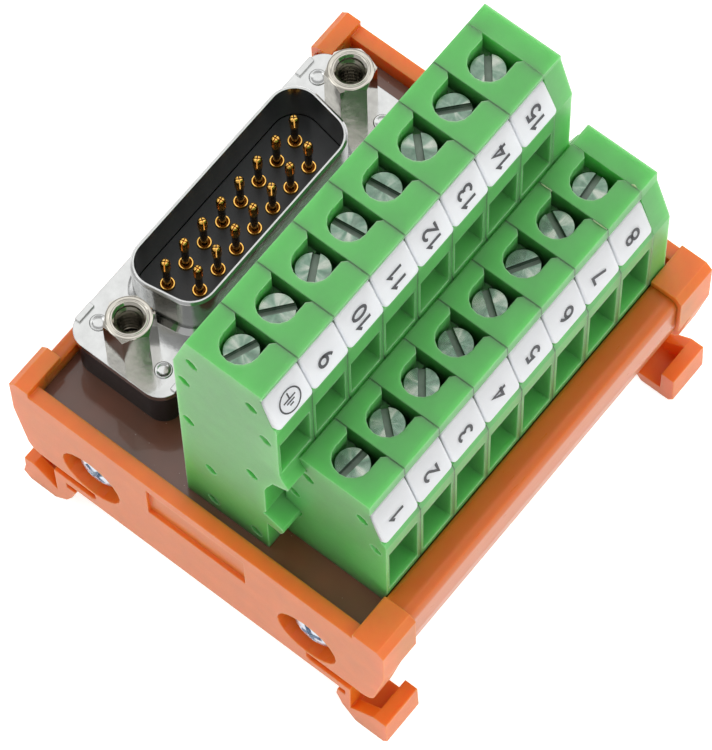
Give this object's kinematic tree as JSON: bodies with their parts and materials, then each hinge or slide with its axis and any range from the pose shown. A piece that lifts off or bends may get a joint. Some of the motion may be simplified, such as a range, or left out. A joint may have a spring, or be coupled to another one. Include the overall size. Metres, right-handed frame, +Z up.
{
  "type": "d-sub terminal block adapter",
  "caption": "Rail-mounted interface module: D-sub plug on a board wired to stepped rows of rising-cage screw terminals.",
  "frame": {"origin": "middle of the underside of the four feet", "axes": "+Z up from the rail; +X along the terminal rows, from the near end plate to the far one; +Y from the wire side to the plug"},
  "size_m": [0.0512, 0.0464, 0.0563],
  "materials": {
    "orange_plastic": "satin",
    "green_plastic": "satin",
    "tag_plastic": "satin",
    "board_laminate": "satin",
    "black_plastic": "matte",
    "nickel_shell": "satin",
    "nickel_steel": "satin",
    "zinc_steel": "satin",
    "clamp_steel": "satin",
    "gold_plate": "polished",
    "tinned_brass": "satin"
  },
  "bodies": {
    "module": {"carrier_profile": "orange_plastic", "end_plate_near": "orange_plastic", "end_plate_far": "orange_plastic", "end_plate_screws": "zinc_steel", "circuit_board": "board_laminate", "dsub_shell": "nickel_shell", "dsub_insulator": "black_plastic", "dsub_pins": "gold_plate", "screwlock_near": "nickel_steel", "screwlock_far": "nickel_steel", "upper_housings": "green_plastic", "lower_housings": "green_plastic", "upper_end_cover": "green_plastic", "lower_end_cover": "green_plastic", "upper_tags": "tag_plastic", "lower_tags": "tag_plastic", "upper_contacts": "tinned_brass", "lower_contacts": "tinned_brass"},
    "upper_screw_1": {"upper_screw_1": "clamp_steel"},
    "upper_cage_1": {"upper_cage_1": "clamp_steel"},
    "upper_screw_2": {"upper_screw_2": "clamp_steel"},
    "upper_cage_2": {"upper_cage_2": "clamp_steel"},
    "upper_screw_3": {"upper_screw_3": "clamp_steel"},
    "upper_cage_3": {"upper_cage_3": "clamp_steel"},
    "upper_screw_4": {"upper_screw_4": "clamp_steel"},
    "upper_cage_4": {"upper_cage_4": "clamp_steel"},
    "upper_screw_5": {"upper_screw_5": "clamp_steel"},
    "upper_cage_5": {"upper_cage_5": "clamp_steel"},
    "upper_screw_6": {"upper_screw_6": "clamp_steel"},
    "upper_cage_6": {"upper_cage_6": "clamp_steel"},
    "upper_screw_7": {"upper_screw_7": "clamp_steel"},
    "upper_cage_7": {"upper_cage_7": "clamp_steel"},
    "upper_screw_8": {"upper_screw_8": "clamp_steel"},
    "upper_cage_8": {"upper_cage_8": "clamp_steel"},
    "lower_screw_1": {"lower_screw_1": "clamp_steel"},
    "lower_cage_1": {"lower_cage_1": "clamp_steel"},
    "lower_screw_2": {"lower_screw_2": "clamp_steel"},
    "lower_cage_2": {"lower_cage_2": "clamp_steel"},
    "lower_screw_3": {"lower_screw_3": "clamp_steel"},
    "lower_cage_3": {"lower_cage_3": "clamp_steel"},
    "lower_screw_4": {"lower_screw_4": "clamp_steel"},
    "lower_cage_4": {"lower_cage_4": "clamp_steel"},
    "lower_screw_5": {"lower_screw_5": "clamp_steel"},
    "lower_cage_5": {"lower_cage_5": "clamp_steel"},
    "lower_screw_6": {"lower_screw_6": "clamp_steel"},
    "lower_cage_6": {"lower_cage_6": "clamp_steel"},
    "lower_screw_7": {"lower_screw_7": "clamp_steel"},
    "lower_cage_7": {"lower_cage_7": "clamp_steel"},
    "lower_screw_8": {"lower_screw_8": "clamp_steel"},
    "lower_cage_8": {"lower_cage_8": "clamp_steel"}
  },
  "joints": [
    {"name": "upper_screw_1_turn", "type": "hinge", "parent": "module", "child": "upper_screw_1", "pos_m": [-0.01968, -0.0025, 0.0549], "axis": [0, 0, -1], "range_deg": [0, 2400]},
    {"name": "upper_cage_1_rise", "type": "slide", "parent": "module", "child": "upper_cage_1", "axis": [0, 0, 1], "range_m": [0, 0.003]},
    {"name": "upper_screw_2_turn", "type": "hinge", "parent": "module", "child": "upper_screw_2", "pos_m": [-0.0146, -0.0025, 0.0549], "axis": [0, 0, -1], "range_deg": [0, 2400]},
    {"name": "upper_cage_2_rise", "type": "slide", "parent": "module", "child": "upper_cage_2", "axis": [0, 0, 1], "range_m": [0, 0.003]},
    {"name": "upper_screw_3_turn", "type": "hinge", "parent": "module", "child": "upper_screw_3", "pos_m": [-0.00952, -0.0025, 0.0549], "axis": [0, 0, -1], "range_deg": [0, 2400]},
    {"name": "upper_cage_3_rise", "type": "slide", "parent": "module", "child": "upper_cage_3", "axis": [0, 0, 1], "range_m": [0, 0.003]},
    {"name": "upper_screw_4_turn", "type": "hinge", "parent": "module", "child": "upper_screw_4", "pos_m": [-0.00444, -0.0025, 0.0549], "axis": [0, 0, -1], "range_deg": [0, 2400]},
    {"name": "upper_cage_4_rise", "type": "slide", "parent": "module", "child": "upper_cage_4", "axis": [0, 0, 1], "range_m": [0, 0.003]},
    {"name": "upper_screw_5_turn", "type": "hinge", "parent": "module", "child": "upper_screw_5", "pos_m": [0.00064, -0.0025, 0.0549], "axis": [0, 0, -1], "range_deg": [0, 2400]},
    {"name": "upper_cage_5_rise", "type": "slide", "parent": "module", "child": "upper_cage_5", "axis": [0, 0, 1], "range_m": [0, 0.003]},
    {"name": "upper_screw_6_turn", "type": "hinge", "parent": "module", "child": "upper_screw_6", "pos_m": [0.00572, -0.0025, 0.0549], "axis": [0, 0, -1], "range_deg": [0, 2400]},
    {"name": "upper_cage_6_rise", "type": "slide", "parent": "module", "child": "upper_cage_6", "axis": [0, 0, 1], "range_m": [0, 0.003]},
    {"name": "upper_screw_7_turn", "type": "hinge", "parent": "module", "child": "upper_screw_7", "pos_m": [0.0108, -0.0025, 0.0549], "axis": [0, 0, -1], "range_deg": [0, 2400]},
    {"name": "upper_cage_7_rise", "type": "slide", "parent": "module", "child": "upper_cage_7", "axis": [0, 0, 1], "range_m": [0, 0.003]},
    {"name": "upper_screw_8_turn", "type": "hinge", "parent": "module", "child": "upper_screw_8", "pos_m": [0.01588, -0.0025, 0.0549], "axis": [0, 0, -1], "range_deg": [0, 2400]},
    {"name": "upper_cage_8_rise", "type": "slide", "parent": "module", "child": "upper_cage_8", "axis": [0, 0, 1], "range_m": [0, 0.003]},
    {"name": "lower_screw_1_turn", "type": "hinge", "parent": "module", "child": "lower_screw_1", "pos_m": [-0.01714, -0.0128, 0.0395], "axis": [0, 0, -1], "range_deg": [0, 2400]},
    {"name": "lower_cage_1_rise", "type": "slide", "parent": "module", "child": "lower_cage_1", "axis": [0, 0, 1], "range_m": [0, 0.003]},
    {"name": "lower_screw_2_turn", "type": "hinge", "parent": "module", "child": "lower_screw_2", "pos_m": [-0.01206, -0.0128, 0.0395], "axis": [0, 0, -1], "range_deg": [0, 2400]},
    {"name": "lower_cage_2_rise", "type": "slide", "parent": "module", "child": "lower_cage_2", "axis": [0, 0, 1], "range_m": [0, 0.003]},
    {"name": "lower_screw_3_turn", "type": "hinge", "parent": "module", "child": "lower_screw_3", "pos_m": [-0.00698, -0.0128, 0.0395], "axis": [0, 0, -1], "range_deg": [0, 2400]},
    {"name": "lower_cage_3_rise", "type": "slide", "parent": "module", "child": "lower_cage_3", "axis": [0, 0, 1], "range_m": [0, 0.003]},
    {"name": "lower_screw_4_turn", "type": "hinge", "parent": "module", "child": "lower_screw_4", "pos_m": [-0.0019, -0.0128, 0.0395], "axis": [0, 0, -1], "range_deg": [0, 2400]},
    {"name": "lower_cage_4_rise", "type": "slide", "parent": "module", "child": "lower_cage_4", "axis": [0, 0, 1], "range_m": [0, 0.003]},
    {"name": "lower_screw_5_turn", "type": "hinge", "parent": "module", "child": "lower_screw_5", "pos_m": [0.00318, -0.0128, 0.0395], "axis": [0, 0, -1], "range_deg": [0, 2400]},
    {"name": "lower_cage_5_rise", "type": "slide", "parent": "module", "child": "lower_cage_5", "axis": [0, 0, 1], "range_m": [0, 0.003]},
    {"name": "lower_screw_6_turn", "type": "hinge", "parent": "module", "child": "lower_screw_6", "pos_m": [0.00826, -0.0128, 0.0395], "axis": [0, 0, -1], "range_deg": [0, 2400]},
    {"name": "lower_cage_6_rise", "type": "slide", "parent": "module", "child": "lower_cage_6", "axis": [0, 0, 1], "range_m": [0, 0.003]},
    {"name": "lower_screw_7_turn", "type": "hinge", "parent": "module", "child": "lower_screw_7", "pos_m": [0.01334, -0.0128, 0.0395], "axis": [0, 0, -1], "range_deg": [0, 2400]},
    {"name": "lower_cage_7_rise", "type": "slide", "parent": "module", "child": "lower_cage_7", "axis": [0, 0, 1], "range_m": [0, 0.003]},
    {"name": "lower_screw_8_turn", "type": "hinge", "parent": "module", "child": "lower_screw_8", "pos_m": [0.01842, -0.0128, 0.0395], "axis": [0, 0, -1], "range_deg": [0, 2400]},
    {"name": "lower_cage_8_rise", "type": "slide", "parent": "module", "child": "lower_cage_8", "axis": [0, 0, 1], "range_m": [0, 0.003]}
  ],
  "couplings": [
    {"joint": "upper_screw_1_turn", "follows": "upper_cage_1_rise", "rad_per_m": 13963},
    {"joint": "upper_screw_2_turn", "follows": "upper_cage_2_rise", "rad_per_m": 13963},
    {"joint": "upper_screw_3_turn", "follows": "upper_cage_3_rise", "rad_per_m": 13963},
    {"joint": "upper_screw_4_turn", "follows": "upper_cage_4_rise", "rad_per_m": 13963},
    {"joint": "upper_screw_5_turn", "follows": "upper_cage_5_rise", "rad_per_m": 13963},
    {"joint": "upper_screw_6_turn", "follows": "upper_cage_6_rise", "rad_per_m": 13963},
    {"joint": "upper_screw_7_turn", "follows": "upper_cage_7_rise", "rad_per_m": 13963},
    {"joint": "upper_screw_8_turn", "follows": "upper_cage_8_rise", "rad_per_m": 13963},
    {"joint": "lower_screw_1_turn", "follows": "lower_cage_1_rise", "rad_per_m": 13963},
    {"joint": "lower_screw_2_turn", "follows": "lower_cage_2_rise", "rad_per_m": 13963},
    {"joint": "lower_screw_3_turn", "follows": "lower_cage_3_rise", "rad_per_m": 13963},
    {"joint": "lower_screw_4_turn", "follows": "lower_cage_4_rise", "rad_per_m": 13963},
    {"joint": "lower_screw_5_turn", "follows": "lower_cage_5_rise", "rad_per_m": 13963},
    {"joint": "lower_screw_6_turn", "follows": "lower_cage_6_rise", "rad_per_m": 13963},
    {"joint": "lower_screw_7_turn", "follows": "lower_cage_7_rise", "rad_per_m": 13963},
    {"joint": "lower_screw_8_turn", "follows": "lower_cage_8_rise", "rad_per_m": 13963}
  ]
}
